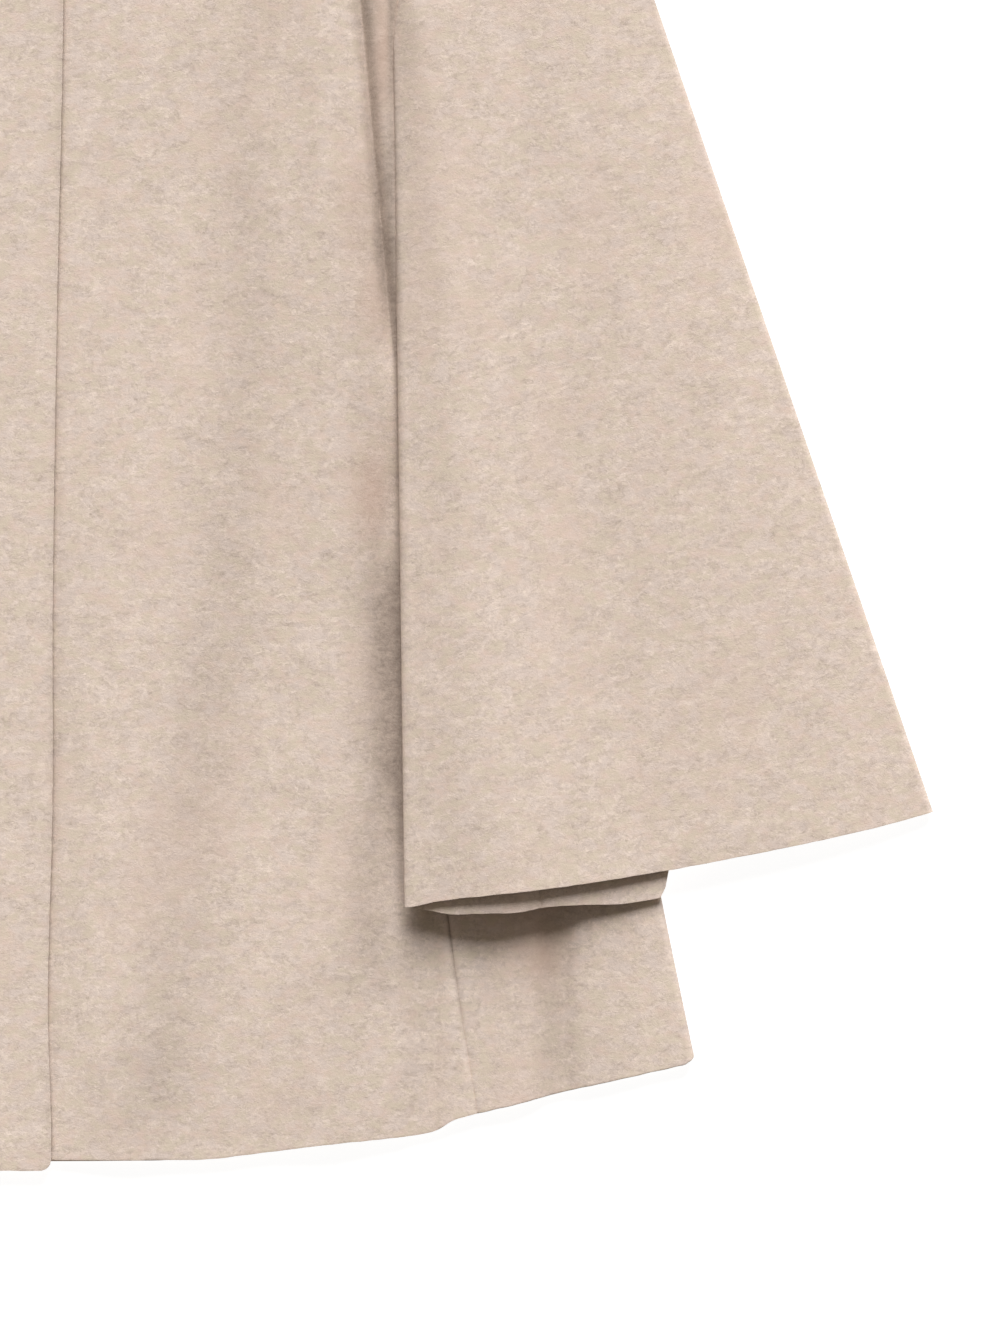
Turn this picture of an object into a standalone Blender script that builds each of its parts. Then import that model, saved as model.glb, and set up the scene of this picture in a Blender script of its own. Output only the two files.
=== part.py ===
"""Wool jacket with bell sleeves and a covered front, laid flat on its back.

The row frame has +Z up from the surface, +Y from hem to neck and +X to the wearer's left.
The origin lies on the surface, under the middle of the laid-out jacket.
Every piece is one wall of cloth: an open sheet, shaped by its own sizes, given its thickness.
"""

import math

import bmesh
import bpy
from mathutils import Vector

# Cloth.
WALL = 0.0020  # thickness of the wool
LAY = 0.0004  # between two layers that lie on each other
SEAM = 0.0004  # between two edges that a seam joins

# Body outline, one half. Y is counted from the hem at the centre front until the last step.
HALF_HEM = 0.3215  # centre front to the side fold, at the hem
SIDE_LEAN = 0.214  # the flare at the side fold
SIDE_EASE = 0.080  # how the flare gives way towards the arm
SIDE_TOP = 0.505
SIDE_FOLD_RADIUS = 0.0022
PANEL_SEAM_HEM = 0.2295  # centre to the seam between the front and the side panel
BACK_SEAM_HEM = 0.2360
PANEL_SEAM_CURVE = 2.4  # above 1, the seam leans out most near the hem
UNDERARM = (0.1900, 0.530)
SHOULDER = (0.1980, 0.722)
NECK = (0.0820, 0.764)
NECK_SHARE = 0.46  # share of a panel's width that ends in the neckline
FRONT_NECK_DROP = 0.090
BACK_NECK_DROP = 0.022
FRONT_SCOOP = 0.017  # how far the armhole curves in
BACK_SCOOP = 0.009
SHOULDER_ROLL = 0.0042
BACK_INSET = 0.0040  # the back stops inside the rolled shoulder edge

# The hem, worked up a little at the seam of the side panel: distance from the centre, height.
HEM = (
    (0.0000, 0.0018),
    (0.0600, 0.0020),
    (0.1000, 0.0028),
    (0.1230, 0.0048),
    (0.1600, 0.0094),
    (0.1900, 0.0130),
    (0.2050, 0.0156),
    (0.2135, 0.0192),
    (0.2225, 0.0229),
    (0.2360, 0.0260),
    (0.2620, 0.0327),
    (0.2990, 0.0410),
    (0.3130, 0.0446),
    (0.3170, 0.0468),
    (0.3200, 0.0496),
)

# Front closing: the wearer's right front lies over the left one.
UNDERLAP = 0.0330  # past the centre, on the covered side
OVERLAP_HEM = 0.0335  # past the centre, on the covering side
OVERLAP_LEAN = 0.0100  # the covering edge leans out by this much for each metre
OVERLAP_DROP = 0.0040  # how far the covering front hangs lower
EDGE_CORNER = 0.0050
HEM_SHY = 0.0016  # the left front stops this much above the back near the closing

# Sleeve: below the arm it is a sector about its own apex.
APEX = (0.1839, 0.8778)
CUFF_RADIUS = 0.7586
FRONT_ANGLE = math.radians(0.76)
OUTER_ANGLE = math.radians(18.78)
CAP_END = (0.3042, 0.524)  # where the curve over the shoulder becomes the straight edge
CAP_START_HANDLE = (0.062, -0.030)
CAP_END_HANDLE = 0.085
CUFF_HOLLOW = 0.0030  # the upper hem stands back in its middle
CUFF_DROP = 0.0088  # the lower hem shows past the upper one, over the body
CUFF_TUCK = 0.0050  # and hides behind it, past the body's side
BODY_SHARE = 0.485  # the share of the cuff that lies over the body
SLEEVE_REST = 0.0070  # height of the sleeve's underside over the body
CUFF_LIFT = 0.0035
SLEEVE_LOFT_TOP = 0.0120
SLEEVE_LOFT_CUFF = 0.0205
FRONT_ROLL = 0.0075
OUTER_ROLL = 0.0018
OUTER_HEIGHT = 0.0036  # between the two layers' middles at the outer fold
UNDERARM_CLEAR = 0.0024  # the rounded front fold starts this far outside the front's seam
SLEEVE_SEAM_TOP = 0.08  # share of the width, from the front fold to the seam below
SLEEVE_SEAM_CUFF = 0.25

# Heights of the layers' middles.
BACK_LEVEL = WALL / 2
FRONT_LEVEL = BACK_LEVEL + WALL + LAY
OVER_STEP = WALL + LAY
FRONT_LOFT = 0.0020  # how far the front stands off the back away from the closing

# Soft folds of the fronts and side panels: each runs from its top to its bottom point.
# name, top x, top y, bottom x, bottom y, half width, height
LEFT_FOLDS = (
    ("closing swell", 0.074, 0.620, 0.060, 0.120, 0.022, 0.0009),
    ("front trough", 0.136, 0.640, 0.108, 0.110, 0.019, -0.0013),
    ("armhole swell", 0.158, 0.590, 0.160, 0.180, 0.010, 0.0008),
    ("armhole trough", 0.1689, 0.575, 0.1860, 0.400, 0.0034, -0.0032),
    ("armhole ridge", 0.1775, 0.570, 0.1880, 0.410, 0.0030, 0.0017),
    ("sleeve hollow", 0.1930, 0.330, 0.1950, 0.100, 0.0140, -0.0016),
    ("panel trough", 0.2030, 0.150, 0.2000, 0.010, 0.0090, -0.0013),
    ("side ridge", 0.2380, 0.160, 0.2440, 0.010, 0.0090, 0.0012),
    ("side crease", 0.2590, 0.165, 0.2630, 0.030, 0.0055, -0.0015),
    ("side swell", 0.2860, 0.160, 0.2900, 0.030, 0.0120, 0.0005),
)
RIGHT_FOLDS = (
    ("closing swell", 0.082, 0.600, 0.070, 0.100, 0.020, 0.0008),
    ("front trough", 0.128, 0.650, 0.116, 0.140, 0.021, -0.0012),
    ("armhole swell", 0.156, 0.595, 0.164, 0.200, 0.010, 0.0008),
    ("armhole trough", 0.1675, 0.580, 0.1850, 0.415, 0.0036, -0.0030),
    ("armhole ridge", 0.1765, 0.575, 0.1875, 0.425, 0.0031, 0.0016),
    ("sleeve hollow", 0.1930, 0.350, 0.1950, 0.120, 0.0130, -0.0015),
    ("panel trough", 0.2060, 0.160, 0.2020, 0.015, 0.0100, -0.0012),
    ("side ridge", 0.2460, 0.150, 0.2480, 0.020, 0.0100, 0.0011),
    ("side crease", 0.2700, 0.160, 0.2680, 0.040, 0.0060, -0.0013),
)
FOLD_FADE = 0.045  # length over which a fold fades at each end
FOLD_FREE = (0.040, 0.064)  # no fold before the first distance from the centre, all after the second

MIDDLE_Y = (NECK[1] + HEM[0][1] - OVERLAP_DROP) / 2

WOOL_COLOUR = (0.68, 0.56, 0.46, 1.0)
WOOL_ROUGHNESS = 0.95


def mix(a, b, share):
    return a + (b - a) * share


def ramp(value, start, end):
    """0 before start, 1 after end, smooth between them."""
    share = min(max((value - start) / (end - start), 0.0), 1.0)
    return share * share * (3 - 2 * share)


def mix_points(a, b, share):
    return (mix(a[0], b[0], share), mix(a[1], b[1], share))


def through(table, x):
    """Smooth curve through a table's points, at x."""
    last = len(table) - 2
    i = min(sum(1 for row in table[1:-1] if x > row[0]), last)
    before, start, end, after = table[max(i - 1, 0)], table[i], table[i + 1], table[min(i + 2, last + 1)]
    length = end[0] - start[0]
    leave = (end[1] - before[1]) / (end[0] - before[0]) * length
    arrive = (after[1] - start[1]) / (after[0] - start[0]) * length
    t = min(max((x - start[0]) / length, 0.0), 1.0)
    rise = end[1] - start[1]
    return start[1] + t * (leave + t * (3 * rise - 2 * leave - arrive + t * (leave + arrive - 2 * rise)))


def hem_y(x):
    return through(HEM, abs(x))


def side_fold_x(y):
    rise = y - HEM[-1][1]
    return HALF_HEM - SIDE_LEAN * rise + SIDE_EASE * rise * rise


def seam_x(y, at_hem):
    return mix(UNDERARM[0], at_hem, max(1 - y / UNDERARM[1], 0.0) ** PANEL_SEAM_CURVE)


def armhole_x(y, scoop):
    share = (y - UNDERARM[1]) / (SHOULDER[1] - UNDERARM[1])
    return mix(UNDERARM[0], SHOULDER[0], share) - scoop * 4 * share * (1 - share)


def outline_x(y, at_hem, scoop):
    """The outer edge of a front or of the back: its side seam, and the armhole above it."""
    return seam_x(y, at_hem) if y < UNDERARM[1] else armhole_x(min(y, SHOULDER[1]), scoop)


def shoulder_y(x):
    return mix(NECK[1], SHOULDER[1], (x - NECK[0]) / (SHOULDER[0] - NECK[0]))


def top_y(x, drop):
    """The neckline up to the neck point, and the shoulder past it."""
    if x >= NECK[0]:
        return shoulder_y(x)
    return NECK[1] - drop * math.sqrt(max(1 - (x / NECK[0]) ** 2, 0.0))


def fold_height(folds, x, y):
    """Sum of the soft folds at a point of the front layer."""
    total = 0.0
    for _, x_top, y_top, x_bottom, y_bottom, half_width, height in folds:
        along = (y_top - y) / (y_top - y_bottom)
        across = (x - mix(x_top, x_bottom, along)) / half_width
        ends = ramp(y, y_bottom - FOLD_FADE, y_bottom + FOLD_FADE / 3)
        ends *= 1 - ramp(y, y_top - FOLD_FADE, y_top + FOLD_FADE)
        total += height * math.exp(-across * across / 2) * ends
    inside = armhole_x(min(max(y, UNDERARM[1]), SHOULDER[1]), FRONT_SCOOP) - x
    by_armhole = mix(1.0, ramp(inside, 0.0, 0.010), ramp(y, UNDERARM[1] - 0.015, UNDERARM[1] + 0.005))
    return total * ramp(x, *FOLD_FREE) * by_armhole


def front_height(folds, x, y):
    """Middle of the front layer's wall above the surface, x counted outwards from the centre."""
    loft = FRONT_LOFT * ramp(x, 0.040, 0.150) * mix(0.6, 1.0, ramp(y, 0.0, 0.080))
    lifted = loft + fold_height(folds, x, y)
    soft_corner = 0.0004
    return FRONT_LEVEL + (lifted + math.sqrt(lifted * lifted + soft_corner * soft_corner)) / 2


def cloth(name, columns, rows, point, side):
    """A named wall of cloth: point(column, row) gives a point of its middle, for x outwards.

    columns and rows are lists of shares. side is 1 for the wearer's left and -1 for the right.
    """
    mesh = bpy.data.meshes.new(name)
    grid = bmesh.new()
    bmesh.ops.create_grid(
        grid, x_segments=len(columns) - 1, y_segments=len(rows) - 1, size=0.5
    )
    for vertex in grid.verts:
        column = columns[round((vertex.co.x + 0.5) * (len(columns) - 1))]
        row = rows[round((vertex.co.y + 0.5) * (len(rows) - 1))]
        x, y, z = point(column, row)
        vertex.co = Vector((side * x, y - MIDDLE_Y, z))
    if side < 0:
        bmesh.ops.reverse_faces(grid, faces=grid.faces)
    grid.to_mesh(mesh)
    grid.free()
    mesh.shade_smooth()
    obj = bpy.data.objects.new(name, mesh)
    wall = obj.modifiers.new("Wall", "SOLIDIFY")
    wall.thickness = WALL
    wall.offset = 0
    mesh.materials.append(WOOL)
    JACKET.objects.link(obj)
    return obj


def even(count):
    return [i / count for i in range(count + 1)]


def between(a, b, count):
    """Shares from a to b, without b."""
    return [mix(a, b, i / count) for i in range(count)]


def panel_point(column, row, inner, drop, at_hem, scoop, hem, inset):
    """Plan point of a front or of the back, and its distance from the shoulder edge.

    inner is the x of its inner edge, hem gives the y of its lower edge. Columns crowd
    towards the neck point near the top, so that the neckline keeps its round form.
    """
    start = math.asin(max(inner / NECK[0], -1.0))
    if column < NECK_SHARE:
        x_top = NECK[0] * math.sin(mix(start, math.pi / 2, column / NECK_SHARE))
    else:
        x_top = mix(NECK[0], SHOULDER[0], (column - NECK_SHARE) / (1 - NECK_SHARE))
    y_top = top_y(x_top, drop)
    y_top -= inset * ramp(x_top, NECK[0] - 0.004, NECK[0] + 0.010)
    x_hem = mix(inner, seam_x(hem(at_hem), at_hem), column)
    y = mix(hem(x_hem), y_top, row)
    x_low = mix(inner, outline_x(y, at_hem, scoop), column)
    x_high = mix(inner, outline_x(y, at_hem, scoop), (x_top - inner) / (SHOULDER[0] - inner))
    return mix(x_low, x_high, ramp(row, 0.45, 0.98)), y, y_top - y


def rolled(height, x, depth):
    """Height near the shoulder, where the front rolls down to the back's level."""
    roll = SHOULDER_ROLL * ramp(x, NECK[0] + 0.002, NECK[0] + 0.018)
    if depth >= roll or roll < 1e-6:
        return height
    share = (roll - depth) / roll
    return BACK_LEVEL + (height - BACK_LEVEL) * math.sqrt(max(1 - share * share, 0.0))


def left_front():
    """The wearer's left front: it lies under the other one at the closing."""

    def hem(x):
        return hem_y(x) + HEM_SHY * (1 - ramp(x, 0.075, 0.105))

    def point(column, row):
        x, y, depth = panel_point(
            column, row, -UNDERLAP, FRONT_NECK_DROP, PANEL_SEAM_HEM, FRONT_SCOOP, hem, 0.0
        )
        return x, y, rolled(front_height(LEFT_FOLDS, x, y), x, depth)

    return cloth("front_left", front_columns(), front_rows(), point, 1)


def right_front():
    """The wearer's right front: its free edge covers the closing."""

    def edge_x(y):
        return -(OVERLAP_HEM + OVERLAP_LEAN * y)

    def hem(x):
        corner = max(0.0, (EDGE_CORNER - (x - edge_x(0.0))) / EDGE_CORNER)
        round_off = EDGE_CORNER * (1 - math.sqrt(max(1 - corner * corner, 0.0)))
        return hem_y(x) - OVERLAP_DROP * (1 - ramp(x, -0.030, 0.180)) + round_off

    def point(column, row):
        x, y, depth = panel_point(
            column, row, edge_x(0.0), FRONT_NECK_DROP, PANEL_SEAM_HEM, FRONT_SCOOP, hem, 0.0
        )
        x -= OVERLAP_LEAN * y * (1 - ramp(column, 0.0, 0.30))
        lift = OVER_STEP * (1 - ramp(x, 0.036, 0.060))
        return x, y, rolled(front_height(RIGHT_FOLDS, x, y) + lift, x, depth)

    columns = sorted({*front_columns(), 0.006, 0.018, 0.26, 0.34})
    return cloth("front_right", columns, front_rows(), point, -1)


def front_columns():
    """Columns across a front, closer together where the narrow folds lie by the sleeve."""
    inner = [*between(0.0, NECK_SHARE, 6), NECK_SHARE, 0.485, 0.52]
    return [*inner, *between(0.57, 0.80, 3), *between(0.80, 1.0, 8), 1.0]


def front_rows():
    return [*between(0.0, 0.70, 11), *between(0.70, 0.96, 14), 0.96, 0.985, 0.9945, 0.998, 1.0]


def back():
    """The back, one piece: it lies flat on the surface."""
    half_columns = (0.0, 0.12, 0.24, 0.34, 0.41, 0.46, 0.50, 0.56, 0.65, 0.78, 0.90, 1.0)
    columns = [0.5 - c / 2 for c in half_columns[:0:-1]] + [0.5 + c / 2 for c in half_columns]
    rows = [*between(0.0, 0.70, 10), *between(0.70, 0.96, 12), 0.96, 0.985, 1.0]

    def hem(x):
        return hem_y(x) + 0.002 * ramp(x, 0.080, 0.110)

    def point(column, row):
        half = abs(2 * column - 1)
        sign = 1 if column >= 0.5 else -1
        x, y, _ = panel_point(
            half, row, 0.0, BACK_NECK_DROP, BACK_SEAM_HEM, BACK_SCOOP, hem, BACK_INSET
        )
        return sign * x, y, BACK_LEVEL

    return cloth("back", columns, rows, point, 1)


def side_panel(name, folds, side):
    """The panel under the arm: from the front seam, round the side fold, to the back seam."""
    top_share, fold_share = 0.50, 0.60
    fold_top = BACK_LEVEL + 2 * SIDE_FOLD_RADIUS
    columns = [*between(0.0, top_share, 9), *between(top_share, fold_share, 4)]
    columns += [*between(fold_share, 1.0, 4), 1.0]

    def point(column, row):
        fold = HALF_HEM - SIDE_FOLD_RADIUS
        if column <= top_share:
            across = column / top_share
            x_hem = mix(seam_x(hem_y(PANEL_SEAM_HEM), PANEL_SEAM_HEM), fold, across)
        elif column <= fold_share:
            across, x_hem = 1.0, fold
        else:
            across = (1.0 - column) / (1.0 - fold_share)
            x_hem = mix(seam_x(hem_y(BACK_SEAM_HEM), BACK_SEAM_HEM), fold, across)
        y = mix(hem_y(x_hem), SIDE_TOP, row)
        fold_x = side_fold_x(y) - SIDE_FOLD_RADIUS
        if column <= top_share:
            x = mix(seam_x(y, PANEL_SEAM_HEM) + SEAM, fold_x, across)
            z = mix(front_height(folds, x, y), fold_top, ramp(across, 0.62, 1.0))
            return x, y, z
        if column <= fold_share:
            turn = math.pi * (column - top_share) / (fold_share - top_share)
            reach = SIDE_FOLD_RADIUS * math.sin(turn)
            return fold_x + reach, y, BACK_LEVEL + SIDE_FOLD_RADIUS * (1 + math.cos(turn))
        return mix(seam_x(y, BACK_SEAM_HEM) + SEAM, fold_x, across), y, BACK_LEVEL

    return cloth(name, columns, even(15), point, side)


def cap_curve(share):
    """The sleeve's outer edge from the shoulder to the straight part, as one Bezier curve."""
    lean = (math.sin(OUTER_ANGLE), -math.cos(OUTER_ANGLE))
    points = (
        SHOULDER,
        (SHOULDER[0] + CAP_START_HANDLE[0], SHOULDER[1] + CAP_START_HANDLE[1]),
        (CAP_END[0] - CAP_END_HANDLE * lean[0], CAP_END[1] - CAP_END_HANDLE * lean[1]),
        CAP_END,
    )
    while len(points) > 1:
        points = [mix_points(a, b, share) for a, b in zip(points, points[1:])]
    return points[0]


def sector_point(share, radius):
    angle = mix(FRONT_ANGLE, OUTER_ANGLE, share)
    return (APEX[0] + radius * math.sin(angle), APEX[1] - radius * math.cos(angle))


def outer_edge(along):
    """A point of the outer fold, for a share of its length from the shoulder."""
    cap_share = 0.37
    if along < cap_share:
        return cap_curve(along / cap_share)
    return mix_points(
        CAP_END, sector_point(1.0, CUFF_RADIUS), (along - cap_share) / (1 - cap_share)
    )


def inner_edge(along):
    """A point of the front fold: it leaves the underarm and slips over the front's edge."""
    end = sector_point(0.0, CUFF_RADIUS)
    y = mix(UNDERARM[1], end[1], along)
    fold_x = APEX[0] + (APEX[1] - y) * math.tan(FRONT_ANGLE)
    return (mix(UNDERARM[0] + UNDERARM_CLEAR, fold_x, ramp(along, 0.02, 0.07)), y)


def cuff_edge(share, upper):
    """How far the cuff's hem reaches from the apex."""
    if upper:
        return CUFF_RADIUS - CUFF_HOLLOW * math.sin(math.pi * share)
    shown = CUFF_DROP * (1 - (1 - min(share / 0.24, 1.0)) ** 2)
    hidden = (CUFF_DROP + CUFF_TUCK) * ramp(share, BODY_SHARE - 0.022, BODY_SHARE + 0.022)
    end = CUFF_TUCK * ramp(share, 0.90, 1.0)
    return CUFF_RADIUS + shown - hidden + end


def sleeve_plan(share, along, upper):
    """Plan point of a sleeve layer: share runs from the front fold to the outer fold."""
    inner, outer = inner_edge(along), outer_edge(along)
    x, y = mix_points(inner, outer, share)
    y_arm = mix(UNDERARM[1], SHOULDER[1], share)
    arm_x = armhole_x(y_arm, FRONT_SCOOP if upper else BACK_SCOOP)
    arm_x += mix(UNDERARM_CLEAR, SEAM, ramp(share, 0.0, 0.07))
    curved_in = max(1 - along / (0.5 * share + 0.02), 0.0) ** 2
    x += curved_in * (arm_x - mix(inner_edge(0.0)[0], SHOULDER[0], share))
    ends = mix_points(sector_point(0.0, CUFF_RADIUS), sector_point(1.0, CUFF_RADIUS), share)
    cuff = sector_point(share, cuff_edge(share, upper))
    bow = along**6
    return x + bow * (cuff[0] - ends[0]), y + bow * (cuff[1] - ends[1])


def over_body(x, y):
    """1 where the body lies under the sleeve, 0 where the sleeve lies on the surface."""
    fold = side_fold_x(min(y, SIDE_TOP))
    aside = 1 - ramp(x, fold + 0.008, fold + 0.036)
    return aside * (1 - ramp(y, SIDE_TOP + 0.012, SIDE_TOP + 0.034))


def lower_height(share, along, x, y):
    """Middle of the sleeve's lower layer."""
    lift = CUFF_LIFT * ramp(along, 0.84, 1.0) * ramp(share, 0.0, 0.08)
    lift *= 1 - ramp(share, BODY_SHARE - 0.08, BODY_SHARE)
    return BACK_LEVEL + SLEEVE_REST * over_body(x, y) + lift


def upper_height(folds, share, along, x, y):
    """Middle of the sleeve's upper layer: joined to the front at the armhole, then lofted."""
    loft = mix(SLEEVE_LOFT_TOP, SLEEVE_LOFT_CUFF, ramp(along, 0.05, 1.0))
    lofted = BACK_LEVEL + OUTER_HEIGHT + loft * (1 - share * share)
    at_arm = mix(front_height(folds, x, y), BACK_LEVEL + OUTER_HEIGHT, ramp(share, 0.8, 1.0))
    grow = ramp(along, 0.0, mix(0.055, 0.16, ramp(share, 0.05, 0.5)))
    return mix(at_arm, lofted, grow)


def sleeve(name, folds, side):
    """A sleeve cut in one, closed by one seam in its lower layer."""
    seam_part, front_part, upper_part, outer_part = 0.10, 0.24, 0.62, 0.70
    columns = [*between(0.0, seam_part, 3), *between(seam_part, front_part, 5)]
    columns += [*between(front_part, upper_part, 11), *between(upper_part, outer_part, 3)]
    columns += [*between(outer_part, 1.0, 12), 1.0]
    rows = [0.0, 0.005, *between(0.015, 0.06, 3), *between(0.06, 0.26, 10), *between(0.26, 0.84, 7)]
    rows += [0.84, 0.89, 0.935, 0.97, 1.0]

    def heights(share, along):
        x, y = sleeve_plan(share, along, True)
        high = upper_height(folds, share, along, x, y)
        x, y = sleeve_plan(share, along, False)
        return lower_height(share, along, x, y), high

    def turn(share_at, angle, along):
        """Round a fold: share_at is where the two layers end, angle is -90 below to 90 above."""
        low, high = heights(share_at, along)
        return mix(low, high, (1 + math.sin(angle)) / 2)

    def point(column, along):
        inner, outer = inner_edge(along), outer_edge(along)
        width = math.dist(inner, outer)
        front = mix(OUTER_ROLL, FRONT_ROLL, ramp(along, 0.10, 0.50)) / width
        back_end = 1 - OUTER_ROLL / width
        seam = mix(SLEEVE_SEAM_TOP, SLEEVE_SEAM_CUFF, along)
        half_slit = SEAM / 2 / width
        if column <= seam_part:
            share = mix(seam - half_slit, front, column / seam_part)
            x, y = sleeve_plan(share, along, False)
            return x, y, lower_height(share, along, x, y)
        if column < front_part:
            angle = mix(-math.pi / 2, math.pi / 2, (column - seam_part) / (front_part - seam_part))
            share = front * (1 - math.cos(angle))
            low = sleeve_plan(share, along, False)
            high = sleeve_plan(share, along, True)
            x, y = mix_points(low, high, (1 + math.sin(angle)) / 2)
            return x, y, turn(front, angle, along)
        if column <= upper_part:
            share = mix(front, back_end, (column - front_part) / (upper_part - front_part))
            x, y = sleeve_plan(share, along, True)
            return x, y, upper_height(folds, share, along, x, y)
        if column < outer_part:
            angle = mix(math.pi / 2, -math.pi / 2, (column - upper_part) / (outer_part - upper_part))
            share = mix(back_end, 1.0, math.cos(angle))
            low = sleeve_plan(share, along, False)
            high = sleeve_plan(share, along, True)
            x, y = mix_points(low, high, (1 + math.sin(angle)) / 2)
            return x, y, turn(back_end, angle, along)
        share = mix(back_end, seam + half_slit, (column - outer_part) / (1 - outer_part))
        x, y = sleeve_plan(share, along, False)
        return x, y, lower_height(share, along, x, y)

    return cloth(name, columns, rows, point, side)


def wool():
    material = bpy.data.materials.new("wool")
    material.use_nodes = True
    shader = material.node_tree.nodes["Principled BSDF"]
    shader.inputs["Base Color"].default_value = WOOL_COLOUR
    shader.inputs["Roughness"].default_value = WOOL_ROUGHNESS
    shader.inputs["Metallic"].default_value = 0.0
    return material


for old in list(bpy.data.objects):
    bpy.data.objects.remove(old)
JACKET = bpy.data.collections.new("wool_jacket")
bpy.context.scene.collection.children.link(JACKET)
WOOL = wool()

back()
left_front()
right_front()
side_panel("side_left", LEFT_FOLDS, 1)
side_panel("side_right", RIGHT_FOLDS, -1)
sleeve("sleeve_left", LEFT_FOLDS, 1)
sleeve("sleeve_right", RIGHT_FOLDS, -1)
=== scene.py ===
"""Dresses a wool jacket that lies flat on its back: brushed melange cloth in soft folds.

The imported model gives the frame. Each sewn piece is made again as a finer wall of cloth.
Sizes are in metres, with +X to the wearer's left, +Y from the hem to the neck and +Z up.
"""

import math

import bmesh
import bpy
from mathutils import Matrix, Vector, noise


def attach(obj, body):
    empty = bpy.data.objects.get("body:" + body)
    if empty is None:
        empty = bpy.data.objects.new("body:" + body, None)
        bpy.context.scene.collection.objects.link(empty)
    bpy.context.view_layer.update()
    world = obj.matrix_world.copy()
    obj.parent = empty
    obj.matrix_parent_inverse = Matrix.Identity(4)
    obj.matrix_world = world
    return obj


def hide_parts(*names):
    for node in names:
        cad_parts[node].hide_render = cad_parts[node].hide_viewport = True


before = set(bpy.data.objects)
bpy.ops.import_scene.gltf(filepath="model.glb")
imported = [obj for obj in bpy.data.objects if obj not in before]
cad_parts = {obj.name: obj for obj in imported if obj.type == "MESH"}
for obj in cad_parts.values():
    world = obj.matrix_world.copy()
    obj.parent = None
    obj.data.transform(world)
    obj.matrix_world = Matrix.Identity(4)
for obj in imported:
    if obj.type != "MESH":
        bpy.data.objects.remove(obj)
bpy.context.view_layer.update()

bl_info = {
    "name": "Wool Jacket Laid Flat",
    "version": (1, 0, 0),
    "blender": (4, 5, 0),
    "location": "View3D > Sidebar > Jacket",
    "description": "Makes the cloth of a wool jacket that lies flat, with its light and camera",
    "category": "Object",
}

# Cloth: its wall, the gap between layers, the gap at a seam and the rounding of its edges.
WALL = 0.0020
LAY = 0.0004
SEAM = 0.0002
EDGE_ROUNDING = 0.0004
SEAM_DIP = 0.0006
SEAM_DIP_REACH = 0.0014
EDGE_WANDER = 0.00022
EDGE_WAVES = 160
# Waves per metre across and along, height, step of the seed.
CRUMPLES = ((14, 9, 0.00035, 0), (45, 32, 0.00012, 7))

# Body outline, one half. Y is counted from the hem at the centre front until the last step.
HALF_HEM = 0.3227
SIDE_LEAN = 0.214
SIDE_EASE = 0.080
SIDE_TOP = 0.505
SIDE_FOLD_RADIUS = 0.0022
PANEL_SEAM_HEM = 0.2295
BACK_SEAM_HEM = 0.2360
PANEL_SEAM_CURVE = 2.4
HEM_CORNER = 0.0052
HEM_CORNER_RISE = 0.0034
UNDERARM = (0.1900, 0.530)
SHOULDER = (0.1980, 0.722)
NECK = (0.0820, 0.764)
NECK_SHARE = 0.46
FRONT_NECK_DROP = 0.090
BACK_NECK_DROP = 0.022
FRONT_SCOOP = 0.017
BACK_SCOOP = 0.009
SHOULDER_ROLL = 0.0042
SHOULDER_ROLL_START = (0.002, 0.018)
BACK_INSET = 0.0040
INSET_START = (-0.004, 0.010)
UPPER_ROWS = (0.45, 0.98)
ARMHOLE_MARGIN = 0.010

# The hem: distance from the centre, height.
HEM = (
    (0.0000, 0.0018),
    (0.0600, 0.0020),
    (0.1000, 0.0028),
    (0.1230, 0.0054),
    (0.1600, 0.0101),
    (0.1900, 0.0130),
    (0.2050, 0.0156),
    (0.2135, 0.0201),
    (0.2225, 0.0229),
    (0.2360, 0.0260),
    (0.2620, 0.0327),
    (0.2990, 0.0410),
    (0.3130, 0.0441),
    (0.3182, 0.0452),
    (0.3212, 0.0462),
)
BACK_HEM_SHY = 0.002
BACK_HEM_SHY_SPAN = (0.080, 0.110)

# Front closing. A span says where a change begins and ends, going out from the centre.
UNDERLAP = 0.0330
OVERLAP_DROP = 0.0040
OVERLAP_DROP_SPAN = (-0.030, 0.180)
OVER_STEP_SPAN = (0.036, 0.060)
EDGE_CORNER = 0.0050
EDGE_FOLLOW = 0.30
EDGE_WANDER_END = 0.02
LEFT_CRUMPLE_SPAN = (0.045, 0.070)
RIGHT_CRUMPLE_SPAN = (0.065, 0.090)
LEFT_SEED = 11
RIGHT_SEED = 23
HEM_SHY = 0.0007
HEM_SHY_SPAN = (0.075, 0.105)
# The left front rises a little just past the overlap's edge: height, rise, loss and its span.
LIP = 0.0009
LIP_RISE = (0.0004, 0.0050)
LIP_LOSS = 0.6
LIP_LOSS_SPAN = (0.010, 0.040)

# The overlap's free edge: height above the hem, distance past the centre.
OVERLAP_EDGE = (
    (0.0000, 0.0342),
    (0.0200, 0.0342),
    (0.0740, 0.0328),
    (0.1640, 0.0349),
    (0.2540, 0.0350),
    (0.3890, 0.0370),
    (0.4970, 0.0394),
    (0.6740, 0.0414),
)

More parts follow.
